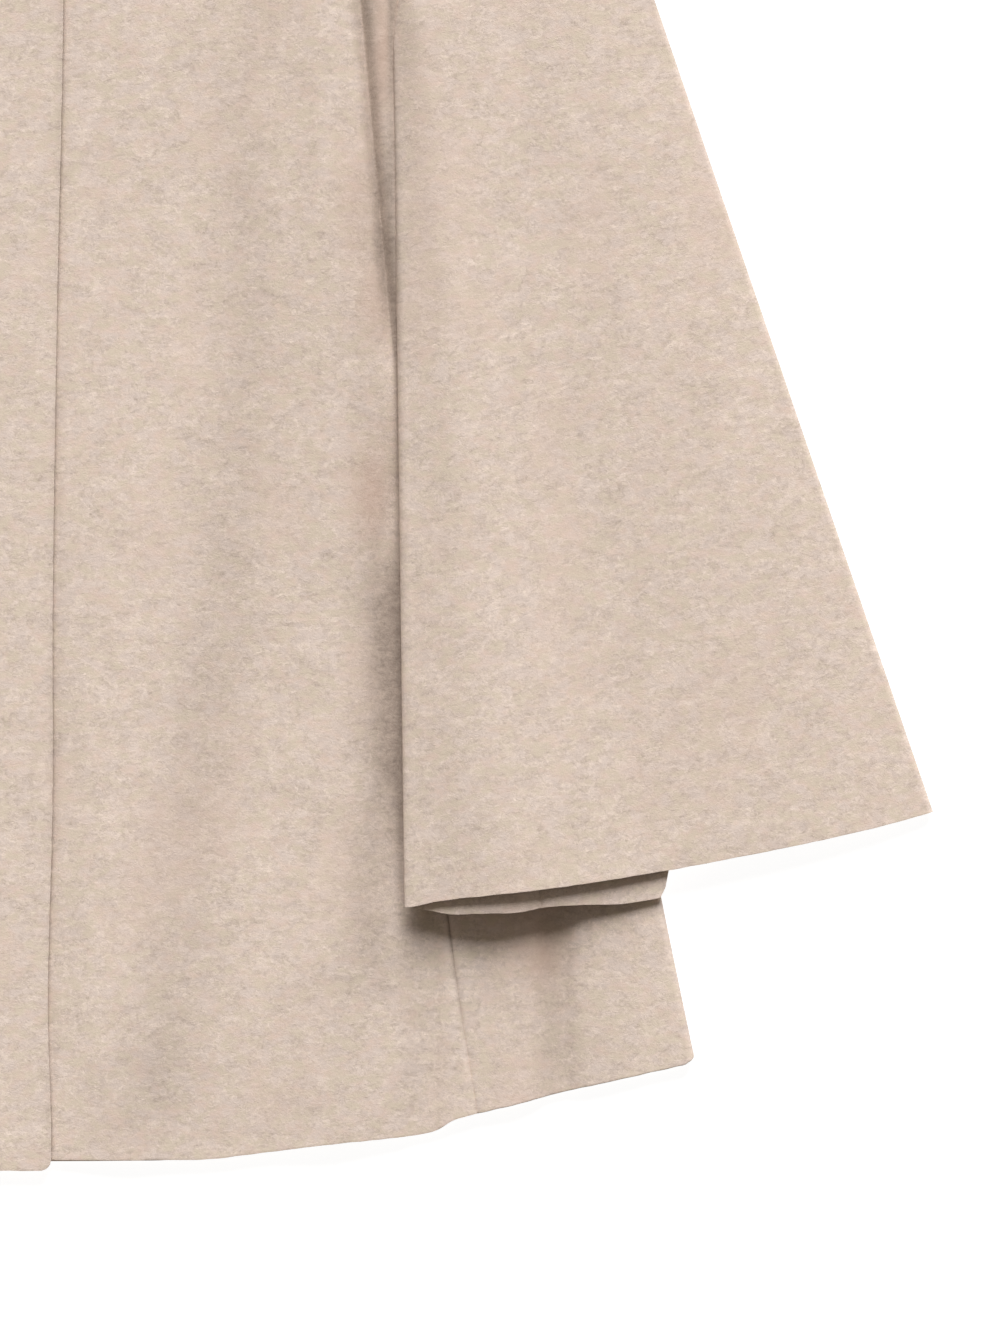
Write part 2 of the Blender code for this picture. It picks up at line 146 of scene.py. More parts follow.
# Sleeve: below the arm it is a sector about its own apex.
APEX = (0.1839, 0.8778)
CUFF_RADIUS = 0.7586
FRONT_ANGLE = math.radians(0.76)
OUTER_ANGLE = math.radians(18.86)
CAP_END = (0.3042, 0.524)
CAP_START_HANDLE = (0.062, -0.030)
CAP_END_HANDLE = 0.085
CAP_SHARE = 0.37
SLIP_SPAN = (0.02, 0.07)
CUFF_HOLLOW = 0.0030
CUFF_TUCK = 0.0050
CUFF_TUCK_SPAN = (-0.012, 0.017)
CUFF_CORNER = 0.0016
CUFF_CORNER_WIDTH = 0.13
CUFF_POINT = 0.0012
CUFF_POINT_WIDTH = 0.055
CUFF_POINT_SPAN = (0.6, 1.0)
CUFF_END_SPAN = (0.90, 1.0)

# How far the cuff's lower layer shows: share of the width from the front fold, distance.
CUFF_SHOWN = (
    (0.000, 0.0026),
    (0.046, 0.0045),
    (0.083, 0.0064),
    (0.140, 0.0065),
    (0.200, 0.0072),
    (0.262, 0.0060),
    (0.330, 0.0070),
    (0.400, 0.0088),
    (0.500, 0.0086),
)
BODY_SHARE = 0.485
SLEEVE_REST = 0.0072
CUFF_LIFT = 0.0125
CUFF_LIFT_SPAN = (0.50, 1.0)
FOLD_LIFT = (0.30, 0.40)
FOLD_LIFT_SPAN = (0.80, 1.0)
FOLD_LIFT_GROWTH = (0.0, 0.16)
CUFF_LIFT_END = (0.14, BODY_SHARE - 0.005)
OVER_SIDE = (0.008, 0.036)
OVER_TOP = (0.012, 0.034)
SLEEVE_LOFT_TOP = 0.0135
SLEEVE_LOFT_CUFF = 0.0206
# How the loft runs across: share lost and where, share at the front fold and where it grows.
LOFT_BY_CUFF = (0.66, (0.15, 0.50), 0.56, (0.0, 0.17))
LOFT_BY_ARM = (0.42, (0.12, 0.58), 0.58, (0.0, 0.22))
LOFT_SPAN = (0.05, 1.0)
LOFT_BLEND = (0.25, 0.96)
LOFT_GROWTH = (0.100, 0.20)
LOFT_GROWTH_SPAN = (0.05, 0.5)
OUTER_SPAN = (0.8, 1.0)
FRONT_ROLL_SPAN = (0.10, 0.50)
FRONT_ROLL = 0.0052
OUTER_ROLL = 0.0018
OUTER_HEIGHT = 0.0036
UNDERARM_CLEAR = 0.0003
SLEEVE_SEAM_TOP = 0.08
SLEEVE_SEAM_CUFF = 0.25

# Heights of the layers' middles.
BACK_LEVEL = WALL / 2
FRONT_LEVEL = BACK_LEVEL + WALL + LAY
OVER_STEP = WALL + LAY
FRONT_LOFT = 0.0066
FRONT_LOFT_START = 0.036
FRONT_LOFT_EASE = 0.010
FRONT_REST = 0.0030
FRONT_REST_LOSS = 0.65
FRONT_REST_SPAN = (0.160, 0.192)
BREAK_SPAN = (-0.017, 0.019)
HEM_LOFT_SHARE = 0.6
HEM_LOFT_SPAN = (0.0, 0.060)
CHEST_LOSS = 0.5
CHEST_SPAN = (0.50, 0.62)
LEVEL_CORNER = 0.0004

# Broad swells of the front over what lies below it.
# name, height, where it rises going out, where it falls, where it changes going up, is it above
SWELLS = (
    ("hem", 0.0016, (0.165, 0.192), (0.285, 0.312), (0.06, 0.30), False),
    ("underarm", 0.0052, (0.135, 0.160), (0.1885, 0.1935), (0.24, 0.46), True),
    ("beside the sleeve", 0.0030, (0.130, 0.158), (0.162, 0.189), (0.28, 0.46), False),
)

# Where the front falls from its loft towards the side: height above the hem, distance out.
FRONT_BREAK = (
    (0.0200, 0.0800),
    (0.0970, 0.0915),
    (0.1640, 0.0985),
    (0.2540, 0.1120),
    (0.3440, 0.1210),
    (0.4340, 0.1300),
    (0.5150, 0.1270),
    (0.6200, 0.1220),
)

# Soft folds of the fronts and side panels: each runs from its top to its bottom point.
# name, top x, top y, bottom x, bottom y, half width, height
LEFT_FOLDS = (
    ("side crest", 0.1600, 0.560, 0.1560, 0.090, 0.0120, 0.0013),
    ("armhole trough", 0.1680, 0.575, 0.1857, 0.385, 0.0025, -0.0054),
    ("armhole ridge", 0.1800, 0.570, 0.1898, 0.410, 0.0024, 0.0010),
    ("sleeve hollow", 0.1895, 0.300, 0.1915, 0.150, 0.0085, -0.0044),
    ("panel valley", 0.2040, 0.160, 0.2010, 0.005, 0.0052, -0.0042),
    ("side ridge", 0.2400, 0.160, 0.2400, 0.005, 0.0080, 0.0013),
    ("side crease", 0.2600, 0.165, 0.2620, 0.010, 0.0050, -0.0040),
)
RIGHT_FOLDS = (
    ("side crest", 0.1580, 0.560, 0.1580, 0.120, 0.0130, 0.0012),
    ("armhole trough", 0.1676, 0.580, 0.1862, 0.405, 0.0027, -0.0058),
    ("armhole ridge", 0.1788, 0.575, 0.1888, 0.425, 0.0026, 0.0010),
    ("sleeve hollow", 0.1905, 0.330, 0.1925, 0.180, 0.0085, -0.0030),
    ("panel valley", 0.2060, 0.170, 0.2040, 0.015, 0.0060, -0.0036),
    ("side ridge", 0.2460, 0.150, 0.2450, 0.020, 0.0085, 0.0011),
    ("side crease", 0.2700, 0.160, 0.2670, 0.030, 0.0056, -0.0034),
)
SIDES = (("left", LEFT_FOLDS, 1), ("right", RIGHT_FOLDS, -1))

# Painted shade: bands where the colour is darkened to stand for the shade of folds, creases and
# raised edges, along the same folds.
# name, top x, top y, bottom x, bottom y, half width, strength
PAINTED_SHADE = (
    ("front upper", 0.1280, 0.600, 0.1215, 0.330, 0.0120, 0.22),
    ("front lower", 0.1215, 0.330, 0.0850, 0.030, 0.0150, 0.20),
    ("armhole trough", 0.1700, 0.600, 0.1846, 0.390, 0.0024, 0.64),
    ("deep trough", 0.1790, 0.480, 0.1838, 0.395, 0.0019, 0.56),
    ("inside the armhole", 0.1738, 0.600, 0.1822, 0.400, 0.0062, 0.20),
    ("below the armhole", 0.1868, 0.400, 0.1903, 0.350, 0.0013, 0.85),
    ("armhole ridge", 0.1800, 0.600, 0.1870, 0.420, 0.0040, 0.08),
    ("armhole edge", 0.1866, 0.600, 0.1878, 0.390, 0.0016, 0.80),
    ("sleeve edge", 0.1893, 0.380, 0.1912, 0.270, 0.0012, 0.45),
    ("beside the sleeve", 0.1780, 0.460, 0.1760, 0.060, 0.0110, 0.13),
    ("close to the sleeve", 0.1885, 0.350, 0.1875, 0.080, 0.0080, 0.08),
    ("sleeve hollow", 0.1876, 0.265, 0.1888, 0.165, 0.0070, 0.88),
    ("above the cuff", 0.1830, 0.160, 0.1810, 0.090, 0.0115, 0.36),
    ("cuff corner", 0.1912, 0.260, 0.1912, 0.110, 0.0014, 0.35),
    ("side panel", 0.2760, 0.200, 0.2780, 0.000, 0.0130, 0.16),
    ("closing edge", 0.0402, 0.600, 0.0342, 0.000, 0.0018, 0.22),
    ("closing side", 0.0430, 0.300, 0.0400, 0.010, 0.0080, 0.07),
    ("panel valley", 0.2022, 0.140, 0.2022, 0.005, 0.0070, 0.18),
    ("side crease", 0.2600, 0.140, 0.2610, 0.010, 0.0060, 0.26),
)
PAINTED_SHADE_FADE = 0.03
PAINTED_SHADE_UNEVEN = 0.5

# The side seam's dark line: half width, least and full strength, where it grows and ends.
SEAM_SHADE_WIDTH = 0.0006
SEAM_SHADE = (0.06, 1.0)
SEAM_SHADE_RISE = (0.035, 0.090)
SEAM_SHADE_END = (0.15, 0.18)

# Painted shade on a sleeve: a little all over, and along its front fold a thin line and a band,
# both stronger near the armhole.
SLEEVE_PAINTED_SHADE = 0.08
FOLD_LINE = 0.34
FOLD_LINE_WIDTH = 0.0020
FOLD_BAND = (0.10, 0.20)
FOLD_BAND_WIDTH = 0.0080
FOLD_HIGH_END = (0.28, 0.50)
FOLD_TOP_FADE = 0.025

# Places where rosy fibres gather on the wearer's left half.
# name, x, y, half width, half length, strength
BLUSH = (
    ("armhole ridge", 0.1835, 0.500, 0.0040, 0.0200, 0.90),
    ("inside the armhole", 0.1715, 0.430, 0.0070, 0.0220, 0.35),
    ("below the armhole", 0.1790, 0.388, 0.0045, 0.0110, 0.55),
    ("beside the sleeve", 0.1782, 0.303, 0.0052, 0.0140, 0.75),
    ("side crease", 0.2555, 0.095, 0.0070, 0.0110, 0.70),
)
# The soft folds: how far their ends fade, how wide one reaches, where the closing starts them.
FOLD_FADE = 0.045
FOLD_REACH = 4
FOLD_FREE = (0.040, 0.064)

MIDDLE_Y = (NECK[1] + HEM[0][1] - OVERLAP_DROP) / 2

# Picture: metres of the surface across it, its height over its width, its middle.
PHOTO_WIDTH = 0.450
PHOTO_SHAPE = 1.334
PHOTO_MIDDLE = (0.2358, 0.2241)
CAMERA_HEIGHT = 3.0
FLOOR_SIZE = 8.0
FLOOR_DROP = 0.0003


def mix(a, b, share):
    return a + (b - a) * share


def ramp(value, start, end):
    """0 before start, 1 after end, smooth between them."""
    share = min(max((value - start) / (end - start), 0.0), 1.0)
    return share * share * (3 - 2 * share)


def mix_points(a, b, share):
    return (mix(a[0], b[0], share), mix(a[1], b[1], share))


def through(table, x):
    """Smooth curve through a table's points, at x."""
    last = len(table) - 2
    i = min(sum(1 for row in table[1:-1] if x > row[0]), last)
    before, start = table[max(i - 1, 0)], table[i]
    end, after = table[i + 1], table[min(i + 2, last + 1)]
    length = end[0] - start[0]
    leave = (end[1] - before[1]) / (end[0] - before[0]) * length
    arrive = (after[1] - start[1]) / (after[0] - start[0]) * length
    t = min(max((x - start[0]) / length, 0.0), 1.0)
    rise = end[1] - start[1]
    square = 3 * rise - 2 * leave - arrive
    cube = leave + arrive - 2 * rise
    return start[1] + t * (leave + t * (square + t * cube))


def hem_y(x):
    return through(HEM, abs(x))


def side_fold_x(y):
    rise = y - HEM[-1][1]
    return HALF_HEM - SIDE_LEAN * rise + SIDE_EASE * rise * rise


def seam_x(y, at_hem):
    return mix(UNDERARM[0], at_hem, max(1 - y / UNDERARM[1], 0.0) ** PANEL_SEAM_CURVE)


def armhole_x(y, scoop):
    share = (y - UNDERARM[1]) / (SHOULDER[1] - UNDERARM[1])
    return mix(UNDERARM[0], SHOULDER[0], share) - scoop * 4 * share * (1 - share)


def outline_x(y, at_hem, scoop):
    """The outer edge of a front or of the back: its side seam, and the armhole above it."""
    return seam_x(y, at_hem) if y < UNDERARM[1] else armhole_x(min(y, SHOULDER[1]), scoop)


def shoulder_y(x):
    return mix(NECK[1], SHOULDER[1], (x - NECK[0]) / (SHOULDER[0] - NECK[0]))


def top_y(x, drop):
    """The neckline up to the neck point, and the shoulder past it."""
    if x >= NECK[0]:
        return shoulder_y(x)
    return NECK[1] - drop * math.sqrt(max(1 - (x / NECK[0]) ** 2, 0.0))


def fold_height(folds, x, y):
    """Sum of the soft folds at a point of the front layer."""
    total = 0.0
    for _, x_top, y_top, x_bottom, y_bottom, half_width, height in folds:
        along = (y_top - y) / (y_top - y_bottom)
        across = (x - mix(x_top, x_bottom, along)) / half_width
        if abs(across) > FOLD_REACH:
            continue
        ends = ramp(y, y_bottom - FOLD_FADE, y_bottom + FOLD_FADE / 3)
        ends *= 1 - ramp(y, y_top - FOLD_FADE, y_top + FOLD_FADE)
        total += height * math.exp(-across * across / 2) * ends
    inside = armhole_x(min(max(y, UNDERARM[1]), SHOULDER[1]), FRONT_SCOOP) - x
    above = ramp(y, UNDERARM[1] - 0.015, UNDERARM[1] + 0.005)
    by_armhole = mix(1.0, ramp(inside, 0.0, ARMHOLE_MARGIN), above)
    return total * ramp(x, *FOLD_FREE) * by_armhole


def body_painted_shade(x, y):
    """How much painted shade darkens the colour at a point of the front or side, standing for
    shade in its folds, creases and the side seam.
    """
    total = 0.0
    for name, x_top, y_top, x_bottom, y_bottom, half_width, strength in PAINTED_SHADE:
        if x < 0 and name.startswith("closing"):
            continue
        along = (y_top - y) / (y_top - y_bottom)
        across = (abs(x) - mix(x_top, x_bottom, along)) / half_width
        ends = ramp(y, y_bottom - PAINTED_SHADE_FADE, y_bottom + PAINTED_SHADE_FADE)
        ends *= 1 - ramp(y, y_top - PAINTED_SHADE_FADE, y_top + PAINTED_SHADE_FADE)
        total += strength * math.exp(-across * across / 2) * ends
    by_seam = (abs(x) - seam_x(y, PANEL_SEAM_HEM)) / SEAM_SHADE_WIDTH
    shade = mix(*SEAM_SHADE, ramp(y, *SEAM_SHADE_RISE)) * (1 - ramp(y, *SEAM_SHADE_END))
    total += shade * math.exp(-by_seam * by_seam / 2)
    return total * (1 + PAINTED_SHADE_UNEVEN * noise.noise(Vector((x * 30, y * 14, 3.0))))


def blush_at(x, y):
    """How rosy the cloth is at a point."""
    total = 0.0
    for _, middle_x, middle_y, half_width, half_length, strength in BLUSH:
        reach = ((x - middle_x) / half_width) ** 2 + ((y - middle_y) / half_length) ** 2
        total += strength * math.exp(-reach / 2)
    return total


def sleeve_painted_shade(x, y):
    """How much painted shade darkens a sleeve's colour: a little all over, most along its front
    fold.
    """
    reach = UNDERARM[1] - sector_point(0.0, CUFF_RADIUS)[1]
    along = min(max((UNDERARM[1] - y) / reach, 0.0), 1.0)
    inside = max(abs(x) - inner_edge(along)[0], 0.0)
    high = 1 - ramp(along, *FOLD_HIGH_END)
    line = FOLD_LINE * high * math.exp(-((inside / FOLD_LINE_WIDTH) ** 2))
    line += mix(*FOLD_BAND, high) * math.exp(-((inside / FOLD_BAND_WIDTH) ** 2))
    return SLEEVE_PAINTED_SHADE + line * (1 - ramp(y, UNDERARM[1], UNDERARM[1] + FOLD_TOP_FADE))


def front_height(folds, x, y):
    """Middle of the front layer's wall above the surface, x counted outwards from the centre."""
    break_x = through(FRONT_BREAK, y)
    high = FRONT_LOFT * ramp(x, FRONT_LOFT_START, break_x - FRONT_LOFT_EASE)
    rest = FRONT_REST * (1 - FRONT_REST_LOSS * ramp(x, *FRONT_REST_SPAN))
    loft = mix(high, rest, ramp(x - break_x, *BREAK_SPAN))
    loft *= mix(HEM_LOFT_SHARE, 1.0, ramp(y, *HEM_LOFT_SPAN))
    loft *= 1 - CHEST_LOSS * ramp(y, *CHEST_SPAN)
    for _, height, rises, falls, changes, is_above in SWELLS:
        up = ramp(y, *changes)
        loft += height * (up if is_above else 1 - up) * ramp(x, *rises) * (1 - ramp(x, *falls))
    lifted = loft + fold_height(folds, x, y)
    return FRONT_LEVEL + (lifted + math.hypot(lifted, LEVEL_CORNER)) / 2


def even(count):
    return [i / count for i in range(count + 1)]


def between(a, b, count):
    """Shares from a to b, without b."""
    return [mix(a, b, i / count) for i in range(count)]


def seam_dip(distance):
    """How far a sewn edge rolls down into its seam."""
    return -SEAM_DIP * math.exp(-((distance / SEAM_DIP_REACH) ** 2))


def crumple(x, y, seed):
    """Low, soft unevenness that pressed wool keeps."""
    return sum(
        height * noise.noise(Vector((x * across, y * along, seed + step)))
        for across, along, height, step in CRUMPLES
    )


def edge_wander(x, y, seed):
    """Small wander of a cloth edge, as its nap gives it."""
    return EDGE_WANDER * noise.noise(Vector((x * EDGE_WAVES, y * EDGE_WAVES, seed)))


def cloth(name, columns, rows, point, side, material, turn):
    """A named wall of cloth, made from an open grid and given its thickness.

    point(column, row) gives a point of its middle, for x outwards, and its place on the cut.
    turn(x, y), for x towards the wearer's left, gives how much painted shade darkens its colour
    there.
    """
    mesh = bpy.data.meshes.new(name)
    grid = bmesh.new()
    bmesh.ops.create_grid(
        grid, x_segments=len(columns) - 1, y_segments=len(rows) - 1, size=0.5
    )
    cut = grid.verts.layers.float_vector.new("cut")
    # Painted shade: how much the material darkens the colour here, standing for shade in folds and
    # creases.
    nap_and_painted_shade = grid.verts.layers.float.new("nap_and_painted_shade")
    blush = grid.verts.layers.float.new("blush")
    for vertex in grid.verts:
        column = columns[round((vertex.co.x + 0.5) * (len(columns) - 1))]
        row = rows[round((vertex.co.y + 0.5) * (len(rows) - 1))]
        (x, y, z), (across, along) = point(column, row)
        vertex.co = Vector((side * x, y - MIDDLE_Y, z))
        vertex[cut] = Vector((side * across, along, 0.0))
        vertex[nap_and_painted_shade] = turn(side * x, y)
        vertex[blush] = blush_at(side * x, y)
    if side < 0:
        bmesh.ops.reverse_faces(grid, faces=grid.faces)
    grid.to_mesh(mesh)
    grid.free()
    mesh.shade_smooth()
    piece = bpy.data.objects.new(name, mesh)
    bpy.context.scene.collection.objects.link(piece)
    wall = piece.modifiers.new("Wall", "SOLIDIFY")
    wall.thickness = WALL
    wall.offset = 0
    edges = piece.modifiers.new("Worn edges", "BEVEL")
    edges.width = EDGE_ROUNDING
    edges.segments = 3
    edges.limit_method = "ANGLE"
    edges.angle_limit = math.radians(50)
    mesh.materials.append(material)
    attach(piece, "root")
    return piece


def panel_point(column, row, inner, drop, at_hem, scoop, hem, inset):
    """Plan point of a front or of the back, and its distance from the shoulder edge."""
    start = math.asin(max(inner / NECK[0], -1.0))
    if column < NECK_SHARE:
        x_top = NECK[0] * math.sin(mix(start, math.pi / 2, column / NECK_SHARE))
    else:
        x_top = mix(NECK[0], SHOULDER[0], (column - NECK_SHARE) / (1 - NECK_SHARE))
    y_top = top_y(x_top, drop)
    y_top -= inset * ramp(x_top, NECK[0] + INSET_START[0], NECK[0] + INSET_START[1])
    x_hem = mix(inner, seam_x(hem(at_hem), at_hem), column)
    y = mix(hem(x_hem), y_top, row)
    x_low = mix(inner, outline_x(y, at_hem, scoop), column)
    x_high = mix(inner, outline_x(y, at_hem, scoop), (x_top - inner) / (SHOULDER[0] - inner))
    return mix(x_low, x_high, ramp(row, *UPPER_ROWS)), y, y_top - y


def rolled(height, x, depth):
    """Height near the shoulder, where the front rolls down to the back's level."""
    start, end = SHOULDER_ROLL_START
    roll = SHOULDER_ROLL * ramp(x, NECK[0] + start, NECK[0] + end)
    if depth >= roll or roll < 1e-6:
        return height
    share = (roll - depth) / roll
    return BACK_LEVEL + (height - BACK_LEVEL) * math.sqrt(max(1 - share * share, 0.0))


def front_columns():
    """Shares across a front, closer together at the armhole and the side seam."""
    columns = [*between(0.0, NECK_SHARE, 46), *between(NECK_SHARE, 0.80, 36)]
    return [0.002, *columns[1:], *between(0.80, 0.985, 40), 0.985, 0.99, 0.995, 1.0]


def front_rows():
    """Shares up a front, closer together at the hem and the shoulder."""
    rows = [0.0, 0.0015, 0.003, *between(0.006, 0.985, 190)]
    return [*rows, 0.985, 0.989, 0.992, 0.9945, 0.9965, 0.998, 0.999, 1.0]


def make_left_front(material):
    """The wearer's left front: it lies under the other one at the closing."""

    def hem(x):
        return hem_y(x) + HEM_SHY * (1 - ramp(x, *HEM_SHY_SPAN)) + edge_wander(x, 0.0, 3)

    def point(column, row):
        x, y, depth = panel_point(
            column, row, -UNDERLAP, FRONT_NECK_DROP, PANEL_SEAM_HEM, FRONT_SCOOP, hem, 0.0
        )
        to_seam = outline_x(y, PANEL_SEAM_HEM, FRONT_SCOOP) - x
        z = front_height(LEFT_FOLDS, x, y) + seam_dip(to_seam)
        z += crumple(x, y, LEFT_SEED) * ramp(x, *LEFT_CRUMPLE_SPAN)
        past_edge = x - through(OVERLAP_EDGE, y)
        z += LIP * ramp(past_edge, *LIP_RISE) * (1 - LIP_LOSS * ramp(past_edge, *LIP_LOSS_SPAN))
        return (x, y, rolled(z, x, depth)), (x, y)

    columns = [0.0, *front_columns()[1:]]
    return cloth("front_left_cloth", columns, front_rows(), point, 1, material, body_painted_shade)


def make_right_front(material):
    """The wearer's right front: its free edge covers the closing."""

    def edge_x(y):
        return -through(OVERLAP_EDGE, y)

    def hem(x):
        corner = max(0.0, (EDGE_CORNER - (x - edge_x(0.0))) / EDGE_CORNER)
        round_off = EDGE_CORNER * (1 - math.sqrt(max(1 - corner * corner, 0.0)))
        drop = OVERLAP_DROP * (1 - ramp(x, *OVERLAP_DROP_SPAN))
        return hem_y(x) - drop + round_off + edge_wander(x, 0.0, 5)

    def point(column, row):
        x, y, depth = panel_point(
            column, row, edge_x(0.0), FRONT_NECK_DROP, PANEL_SEAM_HEM, FRONT_SCOOP, hem, 0.0
        )
        x += (edge_x(y) - edge_x(0.0)) * (1 - ramp(column, 0.0, EDGE_FOLLOW))
        x += edge_wander(0.0, y, 9) * (1 - ramp(column, 0.0, EDGE_WANDER_END))
        lift = OVER_STEP * (1 - ramp(x, *OVER_STEP_SPAN))
        to_seam = outline_x(y, PANEL_SEAM_HEM, FRONT_SCOOP) - x
        z = front_height(RIGHT_FOLDS, x, y) + lift + seam_dip(to_seam)
        z += crumple(x, y, RIGHT_SEED) * ramp(x, *RIGHT_CRUMPLE_SPAN)
        return (x, y, rolled(z, x, depth)), (x, y)

    columns = sorted({0.0, 0.002, 0.004, 0.007, 0.012, 0.016, *front_columns()[1:]})
    return cloth("front_right_cloth", columns, front_rows(), point, -1, material, body_painted_shade)


def make_back(material):
    """The back, one piece: it lies flat on the surface."""
    half_columns = sorted({*even(60), NECK_SHARE, 0.455, 0.465, 0.47, 0.48})
    columns = [0.5 - c / 2 for c in half_columns[:0:-1]] + [0.5 + c / 2 for c in half_columns]
    rows = [0.0, 0.002, *between(0.005, 0.985, 100), 0.985, 0.992, 0.997, 1.0]

    def hem(x):
        return hem_y(x) + BACK_HEM_SHY * ramp(x, *BACK_HEM_SHY_SPAN)

    def point(column, row):
        half = abs(2 * column - 1)
        sign = 1 if column >= 0.5 else -1
        x, y, _ = panel_point(
            half, row, 0.0, BACK_NECK_DROP, BACK_SEAM_HEM, BACK_SCOOP, hem, BACK_INSET
        )
        return (sign * x, y, BACK_LEVEL), (sign * x, y)

    return cloth("back_cloth", columns, rows, point, 1, material, lambda x, y: 0.0)


def make_side_panel(name, folds, side, material):
    """The panel under the arm: from the front seam, round the side fold, to the back seam."""
    top_share, fold_share = 0.50, 0.60
    fold_top = BACK_LEVEL + 2 * SIDE_FOLD_RADIUS
    columns = [0.0, 0.004, 0.008, *between(0.014, 0.46, 48), *between(0.46, top_share, 16)]
    columns += between(top_share, fold_share, 14)
    columns += [*between(fold_share, 1.0, 24), 1.0]
    rows = [0.0, 0.002, *between(0.005, 1.0, 120), 1.0]

    def point(column, row):
        fold = HALF_HEM - SIDE_FOLD_RADIUS
        if column <= top_share:
            across = column / top_share
            x_hem = mix(seam_x(hem_y(PANEL_SEAM_HEM), PANEL_SEAM_HEM), fold, across)
        elif column <= fold_share:
            across, x_hem = 1.0, fold
        else:
            across = (1.0 - column) / (1.0 - fold_share)
            x_hem = mix(seam_x(hem_y(BACK_SEAM_HEM), BACK_SEAM_HEM), fold, across)
        wander = edge_wander(x_hem, 0.0, 14) if column <= top_share else 0.0
        out = x_hem
        if top_share < column < fold_share:
            turn = math.pi * (column - top_share) / (fold_share - top_share)
            out += SIDE_FOLD_RADIUS * math.sin(turn)
        corner = max(0.0, 1 - (HALF_HEM - out) / HEM_CORNER)
        wander += HEM_CORNER_RISE * (1 - math.sqrt(max(1 - corner * corner, 0.0)))
        y = mix(hem_y(x_hem) + wander, SIDE_TOP, row)
        fold_x = side_fold_x(y) - SIDE_FOLD_RADIUS
        if column <= top_share:
            x = mix(seam_x(y, PANEL_SEAM_HEM) + SEAM, fold_x, across)
            from_seam = x - seam_x(y, PANEL_SEAM_HEM) - SEAM
            z = mix(front_height(folds, x, y), fold_top, ramp(across, 0.62, 1.0))
            z += seam_dip(from_seam)
            z += crumple(x, y, LEFT_SEED) * (1 - ramp(across, 0.8, 1.0))
            return (x, y, z), (x, y)
        if column <= fold_share:
            turn = math.pi * (column - top_share) / (fold_share - top_share)
            reach = SIDE_FOLD_RADIUS * math.sin(turn)
            z = BACK_LEVEL + SIDE_FOLD_RADIUS * (1 + math.cos(turn))
            return (fold_x + reach, y, z), (fold_x + turn * SIDE_FOLD_RADIUS, y)
        x = mix(seam_x(y, BACK_SEAM_HEM) + SEAM, fold_x, across)
        return (x, y, BACK_LEVEL), (2 * fold_x + math.pi * SIDE_FOLD_RADIUS - x, y)

    return cloth(name, columns, rows, point, side, material, body_painted_shade)


def cap_curve(share):
    """The sleeve's outer edge from the shoulder to the straight part, as one Bezier curve."""
    lean = (math.sin(OUTER_ANGLE), -math.cos(OUTER_ANGLE))
    points = (
        SHOULDER,
        (SHOULDER[0] + CAP_START_HANDLE[0], SHOULDER[1] + CAP_START_HANDLE[1]),
        (CAP_END[0] - CAP_END_HANDLE * lean[0], CAP_END[1] - CAP_END_HANDLE * lean[1]),
        CAP_END,
    )
    while len(points) > 1:
        points = [mix_points(a, b, share) for a, b in zip(points, points[1:])]
    return points[0]


def sector_point(share, radius):
    angle = mix(FRONT_ANGLE, OUTER_ANGLE, share)
    return (APEX[0] + radius * math.sin(angle), APEX[1] - radius * math.cos(angle))


def outer_edge(along):
    """A point of the outer fold, for a share of its length from the shoulder."""
    if along < CAP_SHARE:
        return cap_curve(along / CAP_SHARE)
    return mix_points(
        CAP_END, sector_point(1.0, CUFF_RADIUS), (along - CAP_SHARE) / (1 - CAP_SHARE)
    )


def inner_edge(along):
    """A point of the front fold: it leaves the underarm and slips over the front's edge."""
    end = sector_point(0.0, CUFF_RADIUS)
    y = mix(UNDERARM[1], end[1], along)
    fold_x = APEX[0] + (APEX[1] - y) * math.tan(FRONT_ANGLE)
    return (mix(UNDERARM[0] + UNDERARM_CLEAR, fold_x, ramp(along, *SLIP_SPAN)), y)


def cuff_edge(share, upper):
    """How far the cuff's hem reaches from the apex."""
    if upper:
        corner = CUFF_CORNER * (1 - ramp(share, 0.0, CUFF_CORNER_WIDTH))
        corner += CUFF_POINT * ramp(share, *CUFF_POINT_SPAN)
        corner += CUFF_POINT * (1 - ramp(share, 0.0, CUFF_POINT_WIDTH))
        return CUFF_RADIUS - CUFF_HOLLOW * math.sin(math.pi * share) + corner
    shown = through(CUFF_SHOWN, share)
    start, full = BODY_SHARE + CUFF_TUCK_SPAN[0], BODY_SHARE + CUFF_TUCK_SPAN[1]
    hidden = (shown + CUFF_TUCK) * ramp(share, start, full)
    end = (CUFF_TUCK + CUFF_POINT) * ramp(share, *CUFF_END_SPAN)
    return CUFF_RADIUS + shown - hidden + end


def sleeve_plan(share, along, upper):
    """Plan point of a sleeve layer: share runs from the front fold to the outer fold."""
    inner, outer = inner_edge(along), outer_edge(along)
    x, y = mix_points(inner, outer, share)
    y_arm = mix(UNDERARM[1], SHOULDER[1], share)
    arm_x = armhole_x(y_arm, FRONT_SCOOP if upper else BACK_SCOOP)
    arm_x += mix(UNDERARM_CLEAR, SEAM, ramp(share, 0.0, 0.07))
    curved_in = max(1 - along / (0.5 * share + 0.02), 0.0) ** 2
    x += curved_in * (arm_x - mix(inner_edge(0.0)[0], SHOULDER[0], share))
    ends = mix_points(sector_point(0.0, CUFF_RADIUS), sector_point(1.0, CUFF_RADIUS), share)
    cuff = sector_point(share, cuff_edge(share, upper))
    bow = along**6
    return x + bow * (cuff[0] - ends[0]), y + bow * (cuff[1] - ends[1])


def over_body(x, y):
    """1 where the body lies under the sleeve, 0 where the sleeve lies on the surface."""
    fold = side_fold_x(min(y, SIDE_TOP))
    aside = 1 - ramp(x, fold + OVER_SIDE[0], fold + OVER_SIDE[1])
    return aside * (1 - ramp(y, SIDE_TOP + OVER_TOP[0], SIDE_TOP + OVER_TOP[1]))


